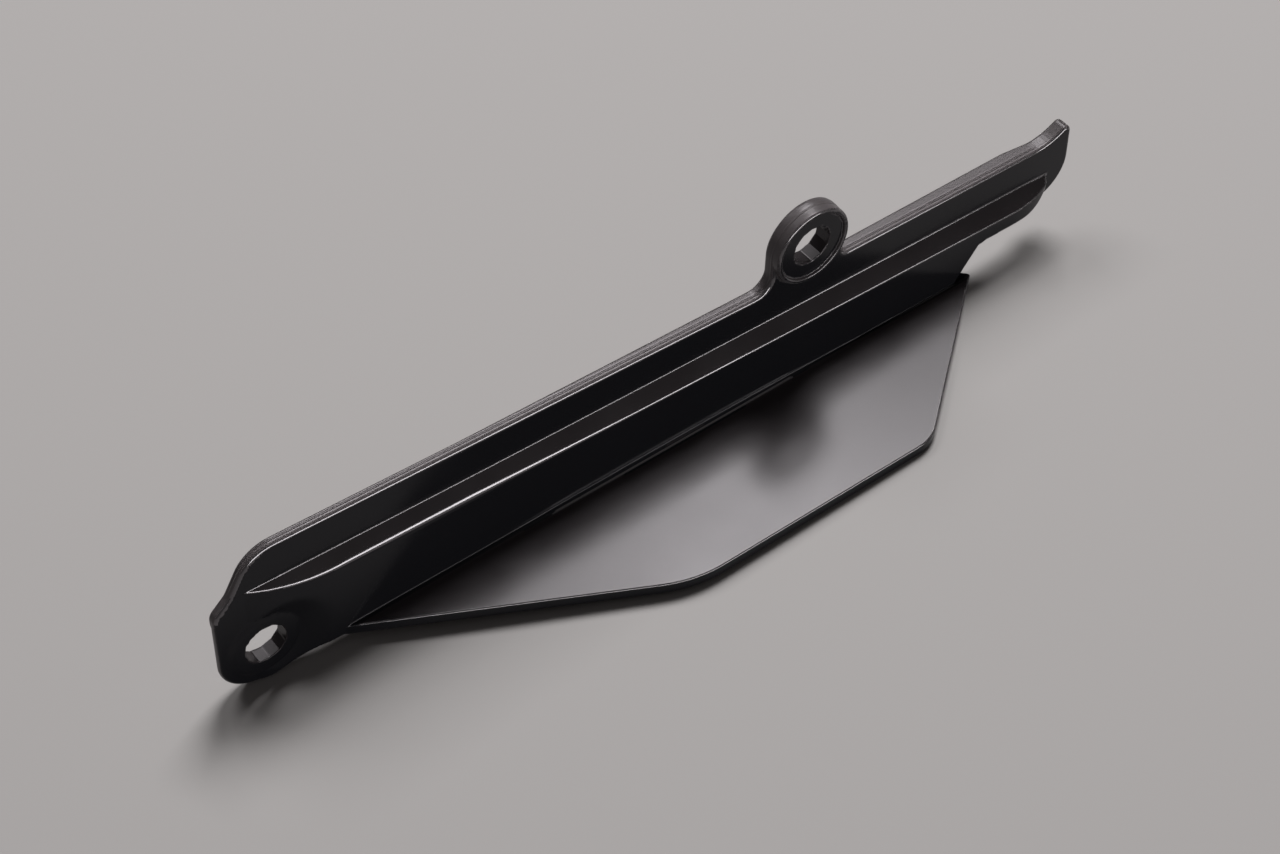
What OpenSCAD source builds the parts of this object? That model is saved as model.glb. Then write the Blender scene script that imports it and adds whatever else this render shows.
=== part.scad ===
// Chain slider: one moulded plastic guard with an upright wall, a flat fin
// along its foot and two mounting bosses. Lengths are in millimetres.
// Frame: origin on the front bore's axis at the wall's front plane.
// +X runs along the fin towards the narrow tip, +Y points away from the fin
// side, and +Z points up along the wall.

/* [Wall] */
// Thickness of the moulded wall
wall_t = 2.8; // [2:0.1:5]
// Height of the wall's upper edge at the front corner
top_front_z = 34.3; // [28:0.1:42]
// Position of the upper front corner, before rounding
top_front_x = -0.8; // [-6:0.1:6]
// Distance along the wall where the upper edge and the ledge bend
bend_x = 155; // [100:1:200]
// Height of the upper edge where it bends
top_bend_z = 25.9; // [20:0.1:34]
// Height of the upper edge just before the tip turns up
top_tip_z = 23.4; // [18:0.1:30]
// Position of the tip's rear edge
tip_x = 268.2; // [240:0.5:300]
// Height of the upturned corner of the tip
tip_z = 27.6; // [22:0.1:36]
// Height of the tip's underside
tip_foot_z = 3.2; // [0:0.1:10]
// Radius of the curve that turns the tip up
tip_sweep_r = 20; // [8:1:40]
// Length of the part of the upper edge that turns up at the tip
tip_sweep_l = 8.4; // [4:0.1:16]
// How far the tip's rear edge leans forward at its top
tip_lean = 2.2; // [0:0.1:5]
// Position of the rear end of the fin's root
root_x = 229.4; // [200:0.5:250]
// Distance over which the underside steps up behind the fin's root
root_step_l = 4; // [2:0.1:10]
// Depth of the stiffening lip behind the upper edge at its deepest
lip_y = 5.4; // [3:0.1:8]
// Height of the stiffening lip
lip_h = 3.2; // [2:0.1:6]
// Position where the stiffening lip starts
lip_front_x = 60; // [30:1:120]
// Distance from the lip's deepest place to the tip's rear edge
lip_rear_l = 23; // [18:0.5:40]
// Depth of the wall at the tip
tip_t = 3.8; // [2.8:0.1:6]
// Length of the thicker wall at the tip
tip_thick_l = 14; // [9:0.5:17]

/* [Front ear] */
// Distance of the ear's front edge from the bore's axis
ear_x = 12.6; // [10:0.1:20]
// Depth of the ear's lowest corner below the bore's axis, before rounding
ear_z = 17; // [14:0.1:24]
// Height at which the ear's front edge starts to slant back
ear_top_z = 17.6; // [14:0.1:20]
// Position of the middle of that slant
brow_x = -7.7; // [-10:0.1:-4]
// Height of the middle of that slant
brow_z = 22; // [20:0.1:26]
// Position where the underside reaches the fin's foot, before rounding
foot_x = 13.6; // [6:0.1:20]
// Radius of the ear's lower corner
ear_r = 11; // [4:0.1:13]
// Radius of the wall's upper front corner
corner_r = 11; // [4:0.5:16]

/* [Raised panel] */
// How far the panel stands out of the wall at the front
panel_front = 3.6; // [1:0.05:5]
// How far the panel stands out of the wall at the rear
panel_rear = 4.2; // [1:0.05:6]
// Distance over which the panel rises out of the ear
blend_l = 20.3; // [10:0.1:40]
// Start of the panel next to the front bore
blend_x = -3.8; // [-10:0.1:10]
// Height of the ledge's inner corner at the ear
ledge_front_z = 22.1; // [18:0.1:28]
// Height of the ledge's inner corner at its bend
ledge_bend_z = 16; // [12:0.1:22]
// Distance along the wall where the ledge bends
ledge_bend_x = 130; // [80:1:180]
// Height of the ledge's inner corner at the rear
ledge_rear_z = 12.4; // [9:0.1:18]
// Position where the panel's rounded end meets the wall
panel_end_x = 261.5; // [245:0.5:265]
// Length of the panel's rounded end
panel_end_l = 14; // [6:0.5:20]
// Radius of the panel's lower rear corner
panel_corner_r = 10; // [2:0.5:12]
// Length of the bevel at the rear end of the fin's root, along its foot
root_bevel_l = 7; // [2:0.1:10]
// Angle between that bevel and the panel's face
root_bevel_a = 40; // [25:1:60]
// Start of the relief behind the panel
relief_x = 19; // [19:0.5:40]

/* [Fin] */
// Height of the fin's upper face
fin_z = -6.3; // [-12:0.1:0]
// Thickness of the fin
fin_t = 3.5; // [2:0.1:6]
// Distance of the fin's outer edge from the wall's front plane
fin_depth = 44.4; // [20:0.1:70]
// Start of the fin's front slant at the wall's front plane
fin_front_x = 13.9; // [5:0.1:40]
// Start of the fin's outer edge, before rounding
fin_edge_front_x = 99.8; // [60:0.1:130]
// End of the fin's outer edge, before rounding
fin_edge_rear_x = 179.9; // [140:0.1:210]
// End of the fin's rear slant at the wall's front plane
fin_rear_x = 235.1; // [200:0.1:260]
// Radius of the fin's front outer corner
fin_front_r = 37; // [5:1:60]
// Radius of the fin's rear outer corner
fin_rear_r = 12.8; // [3:0.1:30]
// Radius of the cove between the fin and the panel
cove_r = 1.4; // [0.5:0.1:4]

/* [Mounting bosses] */
// Distance between the bores along X
bore_dx = 170.7; // [120:0.1:220]
// Height of the rear bore above the front bore
bore_dz = 36.4; // [20:0.1:60]
// Radius of the bores
bore_r = 6.05; // [3:0.05:9]
// Chamfer at both mouths of the bores
bore_chamfer = 0.4; // [0.1:0.1:1]
// Radius of the washer seat around each bore
seat_r = 10.5; // [8:0.1:14]
// How far the washer seats stand in front of the wall's front plane
seat_y = 0.7; // [0:0.1:2]
// Distance over which the panel's face dips to the front washer seat
seat_dish_l = 7.5; // [2:0.1:8]
// How far the bosses reach behind the wall's front plane
boss_back = 3.7; // [3:0.1:8]
// Outer radius of the rear boss
boss_r = 12; // [10:0.1:16]
// How far the rear boss's rim stands in front of the wall's front plane
rim_y = 1.6; // [0.8:0.1:3]
// Radius of the inside corners between the rear boss and the upper edge
neck_front_r = 5.5; // [1:0.1:10]
// Radius of the inside corner on the rear boss's tip side
neck_rear_r = 2.5; // [1:0.1:10]

/* [View] */
// Sub-part to draw

/* [Hidden] */
$fn = 64;
black = [0.06, 0.06, 0.065];
// Overshoot that keeps cuts clear of the faces they open
over = 0.5;
// Reach of shapes that are trimmed by their neighbours
reach = 60;
foot_z = fin_z - fin_t;
panel_foot_z = tip_foot_z + 0.4;
sweep_x = tip_x - tip_sweep_l;
tip_thick_x = tip_x - tip_thick_l;
ledge_skin = wall_t * (sqrt(2) - 1);
panel_slope = (panel_rear - panel_front) / (panel_end_x - blend_x - blend_l);

// Corner list entries are [x, y, radius]. Each corner becomes an arc.
function unit(v) = v / norm(v);
function corner_arc(p, c, n, r) =
    let (a = unit([p[0] - c[0], p[1] - c[1]]), b = unit([n[0] - c[0], n[1] - c[1]]),
         half = acos(a * b) / 2,
         mid = unit(a + b),
         centre = [c[0], c[1]] + mid * (r / sin(half)),
         start = [c[0], c[1]] + a * (r / tan(half)) - centre,
         turn = (a[0] * b[1] - a[1] * b[0] > 0 ? -1 : 1) * (180 - 2 * half),
         steps = max(2, ceil(abs(turn) / 7)))
    [for (i = [0:steps])
        let (t = turn * i / steps)
        centre + [start[0] * cos(t) - start[1] * sin(t), start[0] * sin(t) + start[1] * cos(t)]];
function rounded(pts) =
    let (n = len(pts))
    [for (i = [0:n - 1])
        each corner_arc(pts[(i + n - 1) % n], pts[i], pts[(i + 1) % n], pts[i][2])];

// Front view of the wall with its ear and upturned tip
wall_corners = [
    [top_front_x, top_front_z, corner_r],
    [brow_x, brow_z, 5],
    [-ear_x + 0.2, ear_top_z, 3.5],
    [-ear_x - 0.3, -ear_z, ear_r],
    [foot_x, foot_z, 15],
    [root_x, foot_z, 1],
    [root_x + root_step_l, panel_foot_z, 1.5],
    [tip_x, tip_foot_z - 0.7, 12],
    [tip_x - tip_lean, tip_z, 3],
    [sweep_x, top_tip_z, tip_sweep_r],
    [bend_x, top_bend_z, 300]
];

module front_view(y0, y1) {
    translate([0, y1, 0])
        rotate([90, 0, 0])
            linear_extrude(y1 - y0)
                children();
}

module plan_view(z0, z1) {
    translate([0, 0, z0])
        linear_extrude(z1 - z0)
            children();
}

// Inside corner between a boss side at x = 0 and the upper edge at z = 0
module neck_corner(r) {
    difference() {
        translate([-r, -r])
            square([r + over, 2 * r]);
        translate([-r, r])
            circle(r);
    }
}

// Height of the upper edge at x, behind its bend
function upper_edge(x) = top_bend_z + (x - bend_x) * (top_tip_z - top_bend_z) / (sweep_x - bend_x);

module wall_outline() {
    boss_front = bore_dx - boss_r;
    boss_rear = bore_dx + boss_r;
    stem_z = upper_edge(boss_rear) - lip_h;
    polygon(rounded(wall_corners));
    translate([bore_dx, bore_dz])
        circle(boss_r);
    translate([boss_front, stem_z])
        square([2 * boss_r, bore_dz - stem_z]);
    translate([boss_front, upper_edge(boss_front)])
        neck_corner(neck_front_r);
    translate([boss_rear, upper_edge(boss_rear)])
        mirror([1, 0])
            neck_corner(neck_rear_r);
}

// Everything behind the panel's front face, below its ledge
blend_r = (blend_l * blend_l + panel_front * panel_front) / (2 * panel_front);
blend_turn = asin(blend_l / blend_r);
end_r = (panel_end_l * panel_end_l + panel_rear * panel_rear) / (2 * panel_rear);
end_turn = asin(panel_end_l / end_r);

module panel_form() {
    difference() {
        plan_view(foot_z - reach, top_front_z)
            polygon(concat(
                [[blend_x - 2, reach], [blend_x, 0]],
                [for (i = [0:12])
                    let (t = blend_turn * (1 - i / 12))
                    [blend_x + blend_l - blend_r * sin(t), blend_r * (1 - cos(t)) - panel_front]],
                [for (i = [0:8])
                    let (t = end_turn * i / 8)
                    [panel_end_x - panel_end_l + end_r * sin(t), end_r * (1 - cos(t)) - panel_rear]],
                [[panel_end_x, reach]]));
        intersection() {
            above_ledge(blend_x, ledge_front_z, ledge_bend_x, ledge_bend_z);
            above_ledge(ledge_bend_x, ledge_bend_z, panel_end_x, ledge_rear_z);
        }
    }
}

// Space above the 45 degree slope that runs through a line on the wall
module above_ledge(x0, z0, x1, z1) {
    translate([x0, 0, z0])
        rotate([0, -atan2(z1 - z0, x1 - x0), 0])
            rotate([45, 0, 0])
                translate([-2 * tip_x, -reach, 0])
                    cube([4 * tip_x, 2 * reach, reach]);
}

module panel_outline() {
    polygon(rounded([
        [-reach, top_front_z, 1],
        [-reach, -reach, 1],
        [root_x + 9, -reach, 1],
        [root_x + 9, panel_foot_z, 1],
        [panel_end_x - 6, panel_foot_z, panel_corner_r],
        [panel_end_x + 2, tip_foot_z + 14, 1],
        [panel_end_x + 2, top_front_z, 1]
    ]));
}

// Bevel that thins the wall towards the rear end of the fin's root
module root_bevel() {
    drop = tip_foot_z - fin_z;
    intersection() {
        translate([root_x + 2, -panel_rear, panel_foot_z])
            rotate([0, atan(root_bevel_l / drop), 0])
                rotate([0, 0, root_bevel_a])
                    translate([-reach, -reach, -reach])
                        cube([2 * reach, reach, 2 * reach]);
        translate([root_x - 4 * root_bevel_l, -panel_rear - over, fin_z])
            cube([5 * root_bevel_l + root_step_l, panel_rear + wall_t + 2 * over, panel_foot_z - fin_z]);
    }
}

// Outline of the relief behind the panel
module relief_window() {
    polygon(rounded([
        [relief_x, top_front_z, 2],
        [relief_x, fin_z, 3],
        [root_x - 5, fin_z, 3],
        [root_x - 1, tip_foot_z, 2],
        [root_x - 1, top_front_z, 2]
    ]));
}

module upper_lip() {
    intersection() {
        difference() {
            front_view(wall_t - over, lip_y + over)
                polygon(rounded(wall_corners));
            translate([0, 0, -lip_h])
                front_view(wall_t - 2 * over, lip_y + 2 * over)
                    polygon(rounded(wall_corners));
        }
        plan_view(0, tip_z + over)
            polygon([[lip_front_x, 0], [lip_front_x, wall_t], [tip_x - lip_rear_l, lip_y],
                     [tip_thick_x, tip_t], [tip_thick_x, 0]]);
    }
}

module fin() {
    plan_view(foot_z, fin_z)
        polygon(rounded([
            [fin_front_x, 0, 0.5],
            [fin_edge_front_x, -fin_depth, fin_front_r],
            [fin_edge_rear_x, -fin_depth, fin_rear_r],
            [fin_rear_x - 5, -5 * fin_depth / (fin_rear_x - fin_edge_rear_x), 1],
            [root_x - 3, 0, 1]
        ]));
}

// Concave cove along the corner of the fin and the panel
module root_cove() {
    x0 = blend_x + 1.3 * blend_l;
    translate([x0, -panel_front - panel_slope * 0.3 * blend_l, fin_z])
        rotate([0, 0, -atan(panel_slope)])
            rotate([90, 0, 90])
                linear_extrude(root_x - root_bevel_l - x0)
                    difference() {
                        translate([-cove_r, -over])
                            square([cove_r + over, cove_r + over]);
                        translate([-cove_r, cove_r])
                            circle(cove_r);
                    }
}

module along_y(x, z, y0) {
    translate([x, y0, z])
        rotate([-90, 0, 0])
            children();
}

module bore(x, z, mouth_y) {
    along_y(x, z, mouth_y - over)
        cylinder(r = bore_r, h = boss_back - mouth_y + 2 * over);
    along_y(x, z, mouth_y - bore_chamfer)
        cylinder(r1 = bore_r + 2 * bore_chamfer, r2 = bore_r, h = 2 * bore_chamfer);
    along_y(x, z, boss_back - bore_chamfer)
        cylinder(r1 = bore_r, r2 = bore_r + 2 * bore_chamfer, h = 2 * bore_chamfer);
}

// Shallow cone that brings the panel's face down to the front washer seat
module seat_dish() {
    deep = panel_rear + 1 - seat_y;
    widening = seat_dish_l / (panel_front - seat_y);
    along_y(0, 0, -seat_y - deep)
        cylinder(r1 = seat_r + deep * widening, r2 = seat_r, h = deep);
}

module chain_slider() {
    color(black)
        difference() {
            union() {
                difference() {
                    intersection() {
                        front_view(-panel_rear - 1, wall_t)
                            wall_outline();
                        union() {
                            intersection() {
                                panel_form();
                                front_view(-panel_rear - 1, wall_t)
                                    panel_outline();
                            }
                            front_view(0, wall_t + over)
                                wall_outline();
                        }
                    }
                    intersection() {
                        translate([0, wall_t, -ledge_skin])
                            panel_form();
                        front_view(-panel_rear, wall_t + over)
                            relief_window();
                    }
                    root_bevel();
                    seat_dish();
                }
                upper_lip();
                front_view(0, tip_t)
                    intersection() {
                        polygon(rounded(wall_corners));
                        translate([tip_thick_x, 0])
                            square(reach);
                    }
                fin();
                root_cove();
                along_y(0, 0, -seat_y)
                    cylinder(r = seat_r, h = boss_back + seat_y);
                along_y(bore_dx, bore_dz, -rim_y)
                    cylinder(r = boss_r, h = boss_back + rim_y);
                front_view(0, boss_back)
                    intersection() {
                        wall_outline();
                        translate([bore_dx - boss_r, top_bend_z - lip_h])
                            square([2 * boss_r, boss_r + lip_h]);
                    }
            }
            along_y(bore_dx, bore_dz, -rim_y - over)
                cylinder(r = seat_r, h = rim_y + over - seat_y);
            bore(0, 0, -seat_y);
            bore(bore_dx, bore_dz, -seat_y);
        }
}

chain_slider();
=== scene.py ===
import math

import bmesh
import bpy
import numpy as np
from mathutils import Matrix, Vector


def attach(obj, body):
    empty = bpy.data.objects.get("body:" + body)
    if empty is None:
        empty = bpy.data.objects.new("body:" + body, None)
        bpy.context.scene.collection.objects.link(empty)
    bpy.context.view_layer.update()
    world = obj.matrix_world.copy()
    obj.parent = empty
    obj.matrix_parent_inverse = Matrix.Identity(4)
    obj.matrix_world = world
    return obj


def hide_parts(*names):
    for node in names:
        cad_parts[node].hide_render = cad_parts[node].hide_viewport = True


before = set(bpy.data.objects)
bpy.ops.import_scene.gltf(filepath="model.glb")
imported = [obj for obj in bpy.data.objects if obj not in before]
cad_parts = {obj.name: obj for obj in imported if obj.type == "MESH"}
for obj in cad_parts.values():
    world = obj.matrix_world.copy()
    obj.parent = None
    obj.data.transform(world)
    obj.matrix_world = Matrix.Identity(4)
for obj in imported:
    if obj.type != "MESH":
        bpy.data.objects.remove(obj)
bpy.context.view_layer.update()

# The chain slider is one moulded shell. Its forms are written below as distances
# in millimetres, in the same frame as the CAD: a value below zero is inside the
# plastic. The surface is drawn through the zeros and then pulled onto them.
# X runs along the wall, Y through it towards the back, and Z up.

# Wall, ear and tip
WALL_T = 2.8
# Forms on the wall's back start inside it, at its middle
MID_Y = WALL_T / 2
TOP_FRONT_Z = 34.3
BEND_X, TOP_BEND_Z = 155.0, 25.9
TOP_TIP_Z = 23.4
TIP_X, TIP_Z, TIP_FOOT_Z = 268.2, 28.0, 3.2
TIP_TURN_X = TIP_X - 9.2
TIP_T = 4.6
TIP_THICK_X = TIP_X - 14.0
ROOT_X = 229.4
EAR_X, EAR_Z, EAR_R = 12.6, 17.0, 11.0
LIP_Y, LIP_H = 5.4, 3.2
LIP_EDGE_R = 0.6
# The lip's depth along the wall, as (x, y of its back)
LIP_BACK = [(60, WALL_T), (TIP_X - 23, LIP_Y), (TIP_THICK_X, TIP_T)]
# Radius of the edges round the wall's outline, as (x, radius)
WALL_EDGE_R = [(90, 1.35), (150, 1.1)]
# The step in the top edge where the mould halves part
PARTING_Y, PARTING_W, PARTING_H = 1.75, 0.28, 0.16

# Raised panel
PANEL_FRONT, PANEL_REAR = 3.6, 4.2
PANEL_FOOT_Z = TIP_FOOT_Z + 0.4
BLEND_X, BLEND_L = -3.8, 25.0
# Its rear end is rounded off like a quarter of an ellipse
NOSE_X, NOSE_L = 243.5, 17.1
PANEL_END_X = NOSE_X + NOSE_L
PANEL_CORNER_R, PANEL_FOOT_R = 10.0, 0.8
BLEND_R = (BLEND_L ** 2 + PANEL_FRONT ** 2) / (2 * PANEL_FRONT)
# The ledge slopes down at 45 degrees from this line on the wall to the panel's
# face, as (x, z)
LEDGE_LINE = [(-3.6, 22.0), (6.5, 21.8), (29.3, 20.8), (52.8, 19.5), (77.1, 18.4),
              (102.2, 17.4), (128.3, 16.4), (155.2, 15.8), (183.0, 14.8),
              (211.9, 13.8), (241.8, 13.3), (257.2, 12.5)]
LEDGE_FIT = np.polyfit(*np.array(LEDGE_LINE).T, 3)
HALF_TURN = math.cos(math.radians(45))
# The edge between the panel and its ledge is softest at the front, as (x, radius)
LEDGE_EDGE_R = [(0, 0.9), (25, 2.6), (60, 3.4), (85, 2.2), (110, 1.2), (150, 0.8), (250, 0.8)]
# The inside corner between the ledge and the wall, as (x, radius)
LEDGE_FOOT_R = [(150, 0.5), (210, 0.9), (252, 0.9), (260, 1.8)]
# The relief behind the panel leaves a skin as thick as the wall
RELIEF_DROP = WALL_T * (math.sqrt(2) - 1)
RELIEF_LEDGE_R, RELIEF_CORNER_R, RELIEF_MOUTH_R = 1.5, 1.2, 0.5

# Fin
FIN_Z, FIN_T, FIN_DEPTH = -6.3, 3.5, 44.4
FIN_EDGE_R = 0.5
FOOT_Z = FIN_Z - FIN_T
COVE_R = 0.25
# How far the fin's face rises where it meets the panel, as (x, rise)
ROOT_RISE = [(14, -0.4), (24, -0.3), (37, 0.25), (62, 0.35), (87, 0.6), (113, 1.05),
             (138, 1.35), (154, 1.0), (168, 0.4), (182, -0.1), (197, -0.4),
             (212, -0.6), (230, -0.6)]
ROOT_RISE_FIT = np.polyfit(*np.array(ROOT_RISE).T, 6)
RISE_SHARE, RISE_Y, RISE_WIDTH = 0.75, 3.8, 0.9
# Bevel that ends the fin's root
BEVEL_L, BEVEL_A, BEVEL_EDGE_R = 7.0, math.radians(40), 0.35

# Mounting bosses
BORES = [(0.0, 0.0), (170.7, 36.4)]
BORE_R, BORE_EDGE_R = 5.8, 0.25
SEAT_R, SEAT_Y, SEAT_EDGE_R = 10.5, 0.7, 0.4
# The bores are moulded with narrow flats all round
BORE_FLAT = 2 * math.pi / 12
BORE_TURN = math.radians(19)
# The front washer seat has soft sides and lies in a shallow dish of the panel
SEAT_RUN, SEAT_SOFT = 2.7, 3.0
SEAT_TURN = SEAT_RUN / math.hypot(1, SEAT_RUN)
DISH_SLOPE, DISH_SOFT = (PANEL_FRONT - SEAT_Y) / 7.5, 9.0
DISH_TURN = 1 / math.hypot(1, DISH_SLOPE)
# The rear boss is a rim round a sunk washer seat, on a neck out of the wall
BOSS_R, BOSS_BACK, RIM_Y = 12.0, 3.7, 1.6
BOSS_EDGE_R, RIM_EDGE_R = 0.5, 0.9
BOSS_FOOT_R, NECK_FOOT_R = 0.35, 0.4
NECK_FRONT_R, NECK_REAR_R = 5.5, 2.5


def rounded(corners):
    """The closed outline through corners (x, y, radius), each drawn as an arc."""
    points = []
    n = len(corners)
    for i, (cx, cy, r) in enumerate(corners):
        c = np.array((cx, cy), float)
        a = np.array(corners[i - 1][:2], float) - c
        b = np.array(corners[(i + 1) % n][:2], float) - c
        a /= np.linalg.norm(a)
        b /= np.linalg.norm(b)
        half = math.acos(np.clip(a @ b, -1, 1)) / 2
        centre = c + (a + b) / np.linalg.norm(a + b) * r / math.sin(half)
        start = c + a * r / math.tan(half) - centre
        turn = (math.pi - 2 * half) * (-1 if a[0] * b[1] - a[1] * b[0] > 0 else 1)
        steps = max(2, math.ceil(abs(turn) / math.radians(5)))
        for t in turn * np.arange(steps + 1) / steps:
            points.append(centre + (start[0] * math.cos(t) - start[1] * math.sin(t),
                                    start[0] * math.sin(t) + start[1] * math.cos(t)))
    return np.array(points)


WALL_OUTLINE = rounded([
    (-0.8, TOP_FRONT_Z, 11), (-7.7, 22, 5), (-EAR_X + 0.2, 17.6, 3.5),
    (-EAR_X - 0.3, -EAR_Z, EAR_R), (13.6, FOOT_Z, 15), (ROOT_X, FOOT_Z, 1),
    (ROOT_X + 4, PANEL_FOOT_Z, 1.5), (TIP_X, TIP_FOOT_Z - 0.7, 12),
    (TIP_X - 1.4, TIP_Z, 2), (TIP_TURN_X, TOP_TIP_Z, 18), (BEND_X, TOP_BEND_Z, 300)])
# The panel's own edges are its foot and its rear end. The rest of this outline
# lies outside the wall's.
PANEL_OUTLINE = rounded([
    (-EAR_X - 10, TOP_FRONT_Z, 1), (-EAR_X - 10, -EAR_Z - 10, 1),
    (ROOT_X + 9, -EAR_Z - 10, 1), (ROOT_X + 9, PANEL_FOOT_Z, 1),
    (PANEL_END_X - 6, PANEL_FOOT_Z, PANEL_CORNER_R),
    (PANEL_END_X + 2, TIP_FOOT_Z + 14, 1), (PANEL_END_X + 2, TOP_FRONT_Z, 1)])
RELIEF_OUTLINE = rounded([
    (19, TOP_FRONT_Z, 2), (19, FIN_Z, 3), (ROOT_X - 5, FIN_Z, 3),
    (ROOT_X - 1, TIP_FOOT_Z, 2), (ROOT_X - 1, TOP_FRONT_Z, 2)])
FIN_OUTLINE = rounded([
    (13.9, 0.0, 0.5), (99.8, -FIN_DEPTH, 37.0), (179.9, -FIN_DEPTH, 12.8),
    (230.1, -4.02, 1.0), (ROOT_X - 3, 0.0, 1.0)])


def from_outline(x, y, outline):
    """Distance to a closed outline, negative inside it."""
    x, y = np.broadcast_arrays(x, y)
    nearest = np.full(x.shape, 1e9)
    inside = np.zeros(x.shape, bool)
    a = outline[-1]
    for b in outline:
        ex, ey = b - a
        wx, wy = x - a[0], y - a[1]
        t = np.clip((wx * ex + wy * ey) / (ex * ex + ey * ey), 0, 1)
        nearest = np.minimum(nearest, (wx - t * ex) ** 2 + (wy - t * ey) ** 2)
        if ey != 0:
            inside ^= ((a[1] > y) != (b[1] > y)) & (x < ex * wy / ey + a[0])
        a = b
    return np.where(inside, -1.0, 1.0) * np.sqrt(nearest)


def meet(a, b, r, turn=0.0):
    """What two forms share, with an edge rounded to radius r.

    turn is the cosine of the angle between the two faces' directions.
    """
    u, v = a + r, b + r
    on_edge = (u > turn * v) & (v > turn * u)
    square = np.where(on_edge, u * u + v * v - 2 * turn * u * v, 1)
    return np.where(on_edge, np.sqrt(square / (1 - turn ** 2)) - r, np.maximum(a, b))


def join(a, b, r, turn=0.0):
    """Two forms as one, with an inside corner of radius r."""
    return -meet(-a, -b, r, turn)


def ramp(v, low, high):
    """Rises smoothly from 0 at low to 1 at high."""
    t = np.clip((v - low) / (high - low), 0, 1)
    return t * t * (3 - 2 * t)


def along(x, table):
    """The value at x of a table of (x, value)."""
    return np.interp(x, *np.array(table).T)


def ledge_z(x):
    """Height of the ledge where it meets the wall's front."""
    return np.polyval(LEDGE_FIT, x)


def panel_rise(x):
    """How far the panel's face stands in front of the wall, and its slope."""
    u = np.clip(BLEND_X + BLEND_L - x, 0, BLEND_L)
    curve = PANEL_FRONT - BLEND_R + np.sqrt(BLEND_R ** 2 - u ** 2)
    slope = (PANEL_REAR - PANEL_FRONT) / (NOSE_X - BLEND_X - BLEND_L)
    flat = slope * np.maximum(x - BLEND_X - BLEND_L, 0)
    return curve + flat, u / np.sqrt(BLEND_R ** 2 - u ** 2) + slope


def panel_form(x, y, z, edge):
    """Everything behind the panel's face, its ledge and its rounded end."""
    rise, slope = panel_rise(x)
    face = (-y - rise) / np.sqrt(1 + slope ** 2)
    u, v = (x - NOSE_X) / NOSE_L, np.minimum(y, 0) / PANEL_REAR
    gx, gy = u / NOSE_L, v / PANEL_REAR
    g = np.maximum(np.hypot(gx, gy), 1e-6)
    out = np.hypot(u, v)
    on_nose = u > 0
    face = np.where(on_nose, (out - 1) * out / g, face)
    ledge = (z - y - ledge_z(x)) / math.sqrt(2)
    return meet(face, ledge, edge, HALF_TURN * np.where(on_nose, np.abs(gy) / g, 1))


def panel_and_wall(x, y, z):
    """The raised panel on the wall, both drawn on past the outline."""
    panel = panel_form(x, y, z, along(x, LEDGE_EDGE_R))
    panel = meet(panel, from_outline(x, z, PANEL_OUTLINE), PANEL_FOOT_R)
    dish = -(y + SEAT_Y + (np.hypot(x, z) - SEAT_R) * DISH_SLOPE) * DISH_TURN
    panel = meet(panel, dish, DISH_SOFT, DISH_TURN)
    panel = np.maximum(panel, y - WALL_T)
    wall = np.maximum(-y, y - WALL_T)
    return join(panel, wall, along(x, LEDGE_FOOT_R), HALF_TURN)


def relief(x, y, z):
    """The hollow behind the panel."""
    hollow = panel_form(x, y - WALL_T, z + RELIEF_DROP, RELIEF_LEDGE_R)
    return meet(hollow, from_outline(x, z, RELIEF_OUTLINE), RELIEF_CORNER_R)


def lip(x, y, z, outline):
    """Stiffening lip behind the top edge."""
    band = np.maximum(outline, -from_outline(x, z + LIP_H, WALL_OUTLINE))
    return np.maximum(meet(band, y - along(x, LIP_BACK), LIP_EDGE_R), MID_Y - y)


def thick_tip(x, y, outline):
    """The tip, thicker than the wall."""
    form = meet(np.maximum(outline, TIP_THICK_X - x), y - TIP_T, LIP_EDGE_R)
    return np.maximum(form, MID_Y - y)


def root_cut(x, y, z):
    """What the bevel takes off at the rear end of the fin's root."""
    lean = math.atan(BEVEL_L / (TIP_FOOT_Z - FIN_Z))
    nx, ny = math.sin(BEVEL_A), -math.cos(BEVEL_A)
    above = z - PANEL_FOOT_Z
    bevel = ((x - ROOT_X - 2) * nx * math.cos(lean) + (y + PANEL_REAR) * ny
             - above * nx * math.sin(lean))
    return np.maximum(-bevel, np.maximum(above, ROOT_X - 30 - x))


def fin(x, y, z):
    """The flat fin, whose face rises a little towards the panel."""
    near_panel = np.exp(-np.maximum(-y - RISE_Y, 0) ** 2 / RISE_WIDTH ** 2)
    rise = RISE_SHARE * np.polyval(ROOT_RISE_FIT, np.clip(x, 14, 230)) * near_panel
    form = meet(from_outline(x, y, FIN_OUTLINE), z - FIN_Z - rise, FIN_EDGE_R)
    return meet(form, FOOT_Z - z, FIN_EDGE_R)


def cove_r(x, y, z):
    """Radius of the corner between the fin and the panel, which fades at its ends."""
    return (COVE_R * ramp(z, FIN_Z - 1.6, FIN_Z - 0.9) * ramp(-y, 0.5, 2.2)
            * ramp(ROOT_X - x, 0, 9))


def with_front_boss(body, x, y, z, outline):
    """Adds the low washer seat round the front bore, and its boss on the back."""
    ring = np.hypot(x, z)
    cone = (ring - SEAT_R - 0.5 - y * SEAT_RUN) / math.hypot(1, SEAT_RUN)
    seat = meet(cone, -SEAT_Y - y, SEAT_SOFT, SEAT_TURN)
    # the cone's foot stays inside the ear
    seat = np.maximum(seat, np.maximum(y - MID_Y, outline + 1))
    body = join(body, seat, SEAT_SOFT, SEAT_TURN)
    boss = np.maximum(meet(ring - SEAT_R, y - BOSS_BACK, BOSS_EDGE_R), MID_Y - y)
    return join(body, boss, BOSS_FOOT_R)


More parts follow.
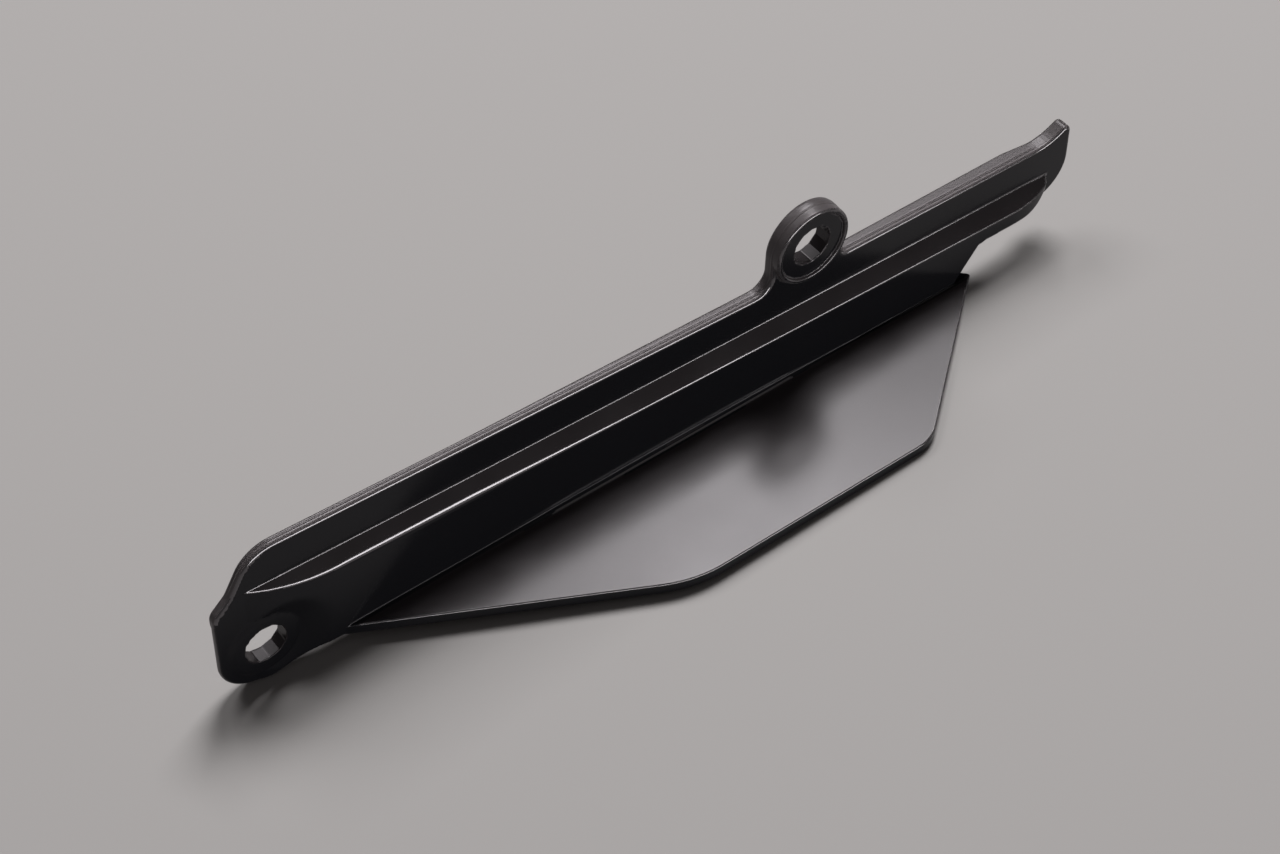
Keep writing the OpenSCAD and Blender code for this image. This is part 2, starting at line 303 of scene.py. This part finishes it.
def with_rear_boss(body, x, y, z, outline):
    """Adds the rear boss and its neck, and sinks its washer seat."""
    bx, bz = BORES[1]
    ring = np.hypot(x - bx, z - bz)
    neck = np.maximum(outline, np.maximum(TOP_BEND_Z - 4 - z, np.abs(x - bx) - BOSS_R))
    neck = np.maximum(meet(neck, y - BOSS_BACK, BOSS_EDGE_R), MID_Y - y)
    body = join(body, neck, NECK_FOOT_R)
    rim = meet(ring - BOSS_R, -RIM_Y - y, RIM_EDGE_R)
    boss = meet(rim, y - BOSS_BACK, BOSS_EDGE_R)
    body = join(body, boss, BOSS_FOOT_R * ramp(bz - z, 1, 5))
    return meet(body, -np.maximum(ring - SEAT_R, y + SEAT_Y), SEAT_EDGE_R)


def plastic(x, y, z):
    """Distance to the whole moulded shell."""
    bx, bz = BORES[1]
    wall = from_outline(x, z, WALL_OUTLINE)
    stem = np.hypot(x - bx, z - np.clip(z, TOP_BEND_Z - 5, bz)) - BOSS_R
    neck_r = NECK_FRONT_R + (NECK_REAR_R - NECK_FRONT_R) * ramp(x, bx - 6, bx + 6)
    outline = join(wall, stem, neck_r)
    parting = (PARTING_H * np.exp(-((y - PARTING_Y) / PARTING_W) ** 2)
               * ramp(z, ledge_z(x), ledge_z(x) + 3))
    stepped = outline + parting

    body = meet(stepped, panel_and_wall(x, y, z), along(x, WALL_EDGE_R))
    body = meet(body, -relief(x, y, z), RELIEF_MOUTH_R)
    body = np.minimum(body, lip(x, y, z, stepped))
    body = np.minimum(body, thick_tip(x, y, wall))
    body = meet(body, -root_cut(x, y, z), BEVEL_EDGE_R)
    body = join(body, fin(x, y, z), cove_r(x, y, z))
    body = with_front_boss(body, x, y, z, outline)
    body = with_rear_boss(body, x, y, z, outline)
    for cx, cz in BORES:
        ring = np.hypot(x - cx, z - cz)
        part = (np.arctan2(z - cz, x - cx) - BORE_TURN) / BORE_FLAT
        off_middle = ((part + 0.5) % 1 - 0.5) * BORE_FLAT
        body = meet(body, BORE_R - ring * np.cos(off_middle), BORE_EDGE_R)
    return body


def top_edge(x):
    """Height of the wall's upper edge, drawn on past the ear and the tip."""
    return np.interp(x, [-14, BEND_X, TIP_TURN_X, TIP_X],
                     [TOP_FRONT_Z + 0.7, TOP_BEND_Z, TOP_TIP_Z, TOP_TIP_Z])


def fin_reach(x):
    """How far the fin's outer edge is from the wall at x."""
    reach = np.zeros_like(x)
    a = FIN_OUTLINE[-1]
    for b in FIN_OUTLINE:
        low, high = min(a[0], b[0]), max(a[0], b[0])
        if high > low:
            on = (x >= low) & (x <= high)
            y = a[1] + (b[1] - a[1]) * (x - a[0]) / (b[0] - a[0])
            reach = np.where(on, np.maximum(reach, -y), reach)
        a = b
    return reach


def steps(breaks):
    """Grid values through breaks, given as (value, number of cells up to it)."""
    parts = [np.atleast_1d(breaks[0][0]).astype(float)[..., None]]
    for (a, _), (b, n) in zip(breaks, breaks[1:]):
        a, b = np.broadcast_arrays(np.asarray(a, float), np.asarray(b, float))
        t = np.arange(1, n + 1) / n
        parts.append(np.atleast_1d(a)[:, None] + (b - a).reshape(-1, 1) * t)
    rows = max(len(p) for p in parts)
    return np.concatenate([np.broadcast_to(p, (rows, p.shape[-1])) for p in parts], axis=1)


def shell_grid():
    """Grid lines that run along the edges of the form, finer where it curves."""
    # ear; wall; rear boss; wall; root bevel; nose; tip
    xs = steps([(-13.9, 0), (13, 50), (157, 126), (184.5, 56), (224, 36), (236, 20),
                (250, 14), (269.4, 40)])[0]
    rise = np.maximum(panel_rise(xs)[0], 0.3)
    upper = ledge_z(xs)
    lower = upper - rise
    top = top_edge(xs)
    # ear's foot; fin; panel; the ledge's front edge, slope and foot; wall; top edge;
    # rear boss
    zs = steps([(np.full_like(xs, -14.6), 0), (FOOT_Z - 0.8, 9), (FIN_Z + 3.4, 22),
                (lower - 1.6, 17), (lower + np.minimum(1.2, 0.4 * rise), 9),
                (upper - np.minimum(0.8, 0.3 * rise), 3), (upper + 0.9, 6),
                (top - 1.5, 10), (top + 0.7, 8), (49.4, 50)])
    # fin's outer edge; fin; panel's face; wall and back
    reach = np.maximum(fin_reach(xs), 8.4)
    ys = steps([(-reach - 0.8, 0), (-reach + 1.8, 8), (-5.4, 42), (-1.2, 11), (6.2, 23)])
    return xs, ys, zs


def draw_surface(xs, ys, zs):
    """Points and quads of the surface through the field's zeros, one point a cell."""
    field = plastic(xs[:, None, None], ys[:, :, None], zs[:, None, :])
    solid = field < 0
    nx, ny, nz = field.shape
    count = np.zeros((nx - 1, ny - 1, nz - 1))
    total = np.zeros((nx - 1, ny - 1, nz - 1, 3))
    corner = [slice(0, -1), slice(1, None)]
    for axis in range(3):
        others = [k for k in range(3) if k != axis]
        for p in (0, 1):
            for q in (0, 1):
                low = [None] * 3
                low[others[0]], low[others[1]], low[axis] = corner[p], corner[q], corner[0]
                high = list(low)
                high[axis] = corner[1]
                f0, f1 = field[tuple(low)], field[tuple(high)]
                crossed = (f0 < 0) != (f1 < 0)
                t = np.where(crossed, f0 / np.where(crossed, f0 - f1, 1), 0)
                count += crossed
                total[..., others[0]] += crossed * p
                total[..., others[1]] += crossed * q
                total[..., axis] += t
    cells = count > 0
    number = np.full(cells.shape, -1)
    number[cells] = np.arange(cells.sum())
    i, j, k = np.argwhere(cells).T
    u, v, w = (total[cells] / count[cells][:, None]).T
    px = xs[i] * (1 - u) + xs[i + 1] * u
    py = ((ys[i, j] * (1 - v) + ys[i, j + 1] * v) * (1 - u)
          + (ys[i + 1, j] * (1 - v) + ys[i + 1, j + 1] * v) * u)
    pz = ((zs[i, k] * (1 - w) + zs[i, k + 1] * w) * (1 - u)
          + (zs[i + 1, k] * (1 - w) + zs[i + 1, k + 1] * w) * u)
    quads = []
    for axis in range(3):
        a, b = [k for k in range(3) if k != axis]
        first = [slice(None)] * 3
        second = [slice(None)] * 3
        first[axis], second[axis] = slice(0, -1), slice(1, None)
        s0, s1 = solid[tuple(first)], solid[tuple(second)]
        for flip in (False, True):
            where = np.argwhere((~s0 & s1) if flip else (s0 & ~s1))
            where = where[(where[:, a] > 0) & (where[:, b] > 0)]
            ring = []
            for da, db in ((0, 0), (-1, 0), (-1, -1), (0, -1)):
                cell = where.copy()
                cell[:, a] += da
                cell[:, b] += db
                ring.append(number[tuple(cell.T)])
            ring = np.stack(ring, 1)
            quads.append(ring[:, ::-1] if flip != (axis == 1) else ring)
    return np.stack([px, py, pz], 1), np.concatenate(quads)


def slope_at(points, value, h):
    """The field's slope at points where it has that value, over steps of h."""
    return np.stack([(plastic(*(points + step).T) - value) / h
                     for step in np.eye(3) * h], 1)


def settle(points):
    """Pulls the points onto the surface and returns them with their normals."""
    longest_move = 0.5
    for _ in range(3):
        value = plastic(*points.T)
        g = slope_at(points, value, 0.01)
        move = value[:, None] * g / np.maximum((g * g).sum(1), 0.2)[:, None]
        length = np.linalg.norm(move, axis=1)[:, None]
        points = points - move * np.minimum(1, longest_move / np.maximum(length, 1e-9))
    g = slope_at(points, plastic(*points.T), 0.03)
    return points, g / np.maximum(np.linalg.norm(g, axis=1), 1e-9)[:, None]


def linear(hex_colour):
    """sRGB hex to linear RGBA."""
    parts = [int(hex_colour[i:i + 2], 16) / 255 for i in (1, 3, 5)]
    return tuple(c / 12.92 if c <= 0.04045 else ((c + 0.055) / 1.055) ** 2.4
                 for c in parts) + (1.0,)


def node(tree, kind, settings=None, inputs=None):
    """Adds a node, sets its properties, and fills or links its inputs."""
    made = tree.nodes.new(kind)
    for name, value in (settings or {}).items():
        setattr(made, name, value)
    for name, value in (inputs or {}).items():
        if isinstance(value, bpy.types.NodeSocket):
            tree.links.new(value, made.inputs[name])
        else:
            made.inputs[name].default_value = value
    return made


def new_material(name):
    """An empty material and its node tree."""
    material = bpy.data.materials.new(name)
    material.use_nodes = True
    material.node_tree.nodes.clear()
    return material, material.node_tree


def moulded_polypropylene(name, colour, gloss, rough, grain_mm, grain_depth_mm):
    """Black polypropylene: a dielectric with a soft skin, whose roughness drifts a little.

    rough is its least and most roughness.
    """
    material, tree = new_material(name)
    place = node(tree, "ShaderNodeTexCoord").outputs["Object"]
    # patches about 17 mm wide, as the tool's wear leaves them
    drift = node(tree, "ShaderNodeTexNoise", {}, {
        "Vector": place, "Scale": 60.0, "Detail": 3.0})
    grain = node(tree, "ShaderNodeTexNoise", {}, {
        "Vector": place, "Scale": 1000 / grain_mm, "Detail": 2.0})
    # the noise hardly leaves 0.3 to 0.7
    roughness = node(tree, "ShaderNodeMapRange", {}, {
        "Value": drift.outputs["Fac"], "From Min": 0.3, "From Max": 0.7,
        "To Min": rough[0], "To Max": rough[1]})
    bump = node(tree, "ShaderNodeBump", {}, {
        "Strength": 1.0, "Distance": grain_depth_mm / 1000, "Height": grain.outputs["Fac"]})
    surface = node(tree, "ShaderNodeBsdfPrincipled", {}, {
        "Base Color": linear(colour), "IOR": 1.49, "Specular IOR Level": gloss,
        "Specular Tint": linear("#fff9fd"), "Roughness": roughness.outputs["Result"],
        "Normal": bump.outputs["Normal"]})
    node(tree, "ShaderNodeOutputMaterial", {}, {"Surface": surface.outputs["BSDF"]})
    return material


# The finishes of the moulded skin; the matt one and the edges' one also carry
# painted light. The grain of each is coarser than the real one, which is too fine to show in
# the render.
FINISHES = [
    # the panel's face and the wall: deep black, with clear reflections that only
    # waver a little
    moulded_polypropylene("moulded_polypropylene_polished", "#0e0e10", gloss=0.15,
                          rough=(0.14, 0.2), grain_mm=0.6, grain_depth_mm=0.002),
    # the fin, the ledge and the bores: a dark grey sheen, in which the wall shows
    # as a blurred dark shape
    moulded_polypropylene("moulded_polypropylene_satin", "#1b1819", gloss=0.25,
                          rough=(0.21, 0.26), grain_mm=1.3, grain_depth_mm=0.008),
    # the top and narrow sides: rougher, without reflections; their lighter grey is painted
    # sheen
    moulded_polypropylene("moulded_polypropylene_matt_painted_sheen", "#3c3839", gloss=0.18,
                          rough=(0.3, 0.36), grain_mm=1.2, grain_depth_mm=0.01),
    # the rounded edges: a lighter grey with a far stronger reflection than the faces, a
    # painted highlight that makes each one draw a thin bright line from the lamps
    moulded_polypropylene("moulded_polypropylene_edge_painted_highlight", "#2e2c2d", gloss=1.0,
                          rough=(0.12, 0.18), grain_mm=0.6, grain_depth_mm=0.002),
]
POLISHED, SATIN, MATT_PAINTED_SHEEN, EDGE_PAINTED_HIGHLIGHT = range(len(FINISHES))


def choose_finish(middle, facing):
    """The finish of each face of the shell, from its middle and its direction."""
    x, y, z = middle.T
    across, upward = np.abs(facing[:, 1]), facing[:, 2]
    above_fin = z > FIN_Z + 3
    fin_skin = (y < -4.7) & (z < FIN_Z + 1.6)
    # the face of the fin, and next to the panel only where it is level
    on_fin = fin_skin & (upward > np.where(y > -9, 0.985, 0.4))
    fin_rim = fin_skin & (upward > 0.4) & (upward < 0.97)
    on_ledge = facing @ (0, -HALF_TURN, HALF_TURN) > 0.997
    on_top = (upward > 0.75) & (z > ledge_z(x) + 3)
    on_side = (across < 0.5) & (z > np.where(x < 0, -8, FIN_Z + 3))
    # these edges get the painted highlight finish
    round_edge = (across > 0.1) & (across < 0.95) & ~on_ledge & above_fin
    # not the soft flanks of the front washer seat
    round_edge &= np.hypot(x, z) > 20
    in_bore = np.min([np.hypot(x - cx, z - cz) for cx, cz in BORES], 0) < BORE_R + 0.3
    # faces picked as matt get painted sheen: a lighter grey for the light they catch from
    # above
    return np.select([in_bore, on_top | on_side, round_edge | fin_rim, on_fin | on_ledge],
                     [SATIN, MATT_PAINTED_SHEEN, EDGE_PAINTED_HIGHLIGHT, SATIN], POLISHED)


# The shell
points, quads = draw_surface(*shell_grid())
points, normals = settle(points)
mesh = bpy.data.meshes.new("slider_shell")
mesh.from_pydata((points / 1000).tolist(), [], quads.tolist())
for finish in FINISHES:
    mesh.materials.append(finish)
finish_index = choose_finish(points[quads].mean(1), normals[quads].mean(1))
mesh.polygons.foreach_set("material_index", finish_index.astype(np.int32))
mesh.polygons.foreach_set("use_smooth", np.ones(len(quads), bool))
mesh.update()
mesh.normals_split_custom_set_from_vertices(normals.tolist())
shell = bpy.data.objects.new("slider_shell", mesh)
bpy.context.scene.collection.objects.link(shell)
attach(shell, "root")
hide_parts("chain_slider")


def resting_plane(co):
    """The plane that the part rests on, as (normal, point).

    It is the face of the points' hull that lies under their middle.
    """
    hull = bmesh.new()
    for p in co:
        hull.verts.new(p)
    bmesh.ops.convex_hull(hull, input=hull.verts)
    middle = Vector(co.mean(0))
    plane = Vector((0, 0, 1)), Vector((0, 0, FOOT_Z / 1000))
    for face in hull.faces:
        n = face.normal
        if n.z < -0.9:
            flat = [Vector(v.co) for v in face.verts]
            foot = middle + n * (flat[0] - middle).dot(n)
            edges = zip(flat, flat[1:] + flat[:1])
            if all((b - a).cross(foot - a).dot(n) > -1e-9 for a, b in edges):
                plane = -n, flat[0]
    hull.free()
    return plane


# The fin and the ear's foot carry the part. A point above closes the hull.
underside = points[points[:, 2] < -5] / 1000
above = points.mean(0) / 1000 + (0, 0, 0.03)
floor_normal, floor_point = resting_plane(np.vstack([underside, [above]]))

# Floor: a sheet of matt grey card. It gives the even light grey round the part,
# with soft shadows and no reflection.
FLOOR_HALF = 4.0
card, tree = new_material("matt_grey_card")
surface = node(tree, "ShaderNodeBsdfPrincipled", {}, {
    "Base Color": linear("#b0acab"), "Roughness": 0.7, "IOR": 1.45})
node(tree, "ShaderNodeOutputMaterial", {}, {"Surface": surface.outputs["BSDF"]})
floor_mesh = bpy.data.meshes.new("floor")
floor_mesh.from_pydata([(-FLOOR_HALF, -FLOOR_HALF, 0), (FLOOR_HALF, -FLOOR_HALF, 0),
                        (FLOOR_HALF, FLOOR_HALF, 0), (-FLOOR_HALF, FLOOR_HALF, 0)],
                       [], [(0, 1, 2, 3)])
floor_mesh.materials.append(card)
floor = bpy.data.objects.new("floor", floor_mesh)
# a hair below the part, so that the two faces don't share a plane
FLOOR_GAP = 0.00002
tilt = Vector((0, 0, 1)).rotation_difference(floor_normal)
floor.matrix_world = (Matrix.Translation(floor_point - floor_normal * FLOOR_GAP)
                      @ tilt.to_matrix().to_4x4())
bpy.context.scene.collection.objects.link(floor)

# Camera, solved from the straight edges and the bores that the photograph shows
PHOTO_WIDTH_PX, FOCAL_PX = 1280, 2601.655
RIGHT = Vector((0.79327877, -0.60855937, 0.0190861))
UP = Vector((0.44689609, 0.60326236, 0.6605743))
PLACE = Vector((-0.16661931, -0.35165878, 0.51346928))
camera_data = bpy.data.cameras.new("camera")
camera_data.sensor_width = 36
camera_data.lens = 36 * FOCAL_PX / PHOTO_WIDTH_PX
camera_data.clip_start, camera_data.clip_end = 0.01, 20
camera = bpy.data.objects.new("camera", camera_data)
camera.matrix_world = (Matrix.Translation(PLACE)
                       @ Matrix((RIGHT, UP, RIGHT.cross(UP))).transposed().to_4x4())
bpy.context.scene.collection.objects.link(camera)
bpy.context.scene.camera = camera


def from_angles(azimuth, elevation):
    """Direction with azimuth from +Y towards +X and elevation, in degrees."""
    a, e = math.radians(azimuth), math.radians(elevation)
    return (math.sin(a) * math.cos(e), math.cos(a) * math.cos(e), math.sin(e))


def softbox(name, toward, distance, width, height, power, turn=0):
    """A rectangular studio light, seen from the part in the direction toward.

    Lengths are in metres, power in watts and turn in degrees.
    """
    aim = Vector((0.13, -0.01, 0.01))
    data = bpy.data.lights.new(name, "AREA")
    data.shape = "RECTANGLE"
    data.size, data.size_y = width, height
    data.energy = power
    lamp = bpy.data.objects.new(name, data)
    direction = Vector(toward).normalized()
    lamp.matrix_world = (Matrix.Translation(aim + direction * distance)
                         @ direction.to_track_quat("Z", "Y").to_matrix().to_4x4()
                         @ Matrix.Rotation(math.radians(turn), 4, "Z"))
    bpy.context.scene.collection.objects.link(lamp)
    return lamp


# The light behind draws the sheen on the fin and the ledge, and the lines on the
# edges that face up. The left one opens the shadows. The low one in front lights
# the panel's face.
softbox("softbox_behind", from_angles(50, 60), distance=2.6, width=0.9, height=1.1,
        power=54, turn=-10)
softbox("softbox_left", from_angles(-8, 50), distance=2.6, width=1.4, height=0.8, power=16)
in_front = softbox("softbox_in_front", from_angles(176, 12), distance=1.4, width=1.8,
                   height=0.34, power=21)
# The low front light lights only the shell, so it stays off the table
lit_from_front = bpy.data.collections.new("lit_from_front")
lit_from_front.objects.link(shell)
in_front.light_linking.receiver_collection = lit_from_front

world = bpy.data.worlds.new("studio")
world.use_nodes = True
background = world.node_tree.nodes["Background"]
background.inputs["Color"].default_value = linear("#bcb9b8")
background.inputs["Strength"].default_value = 0.13
bpy.context.scene.world = world
bpy.context.scene.view_settings.view_transform = "Standard"
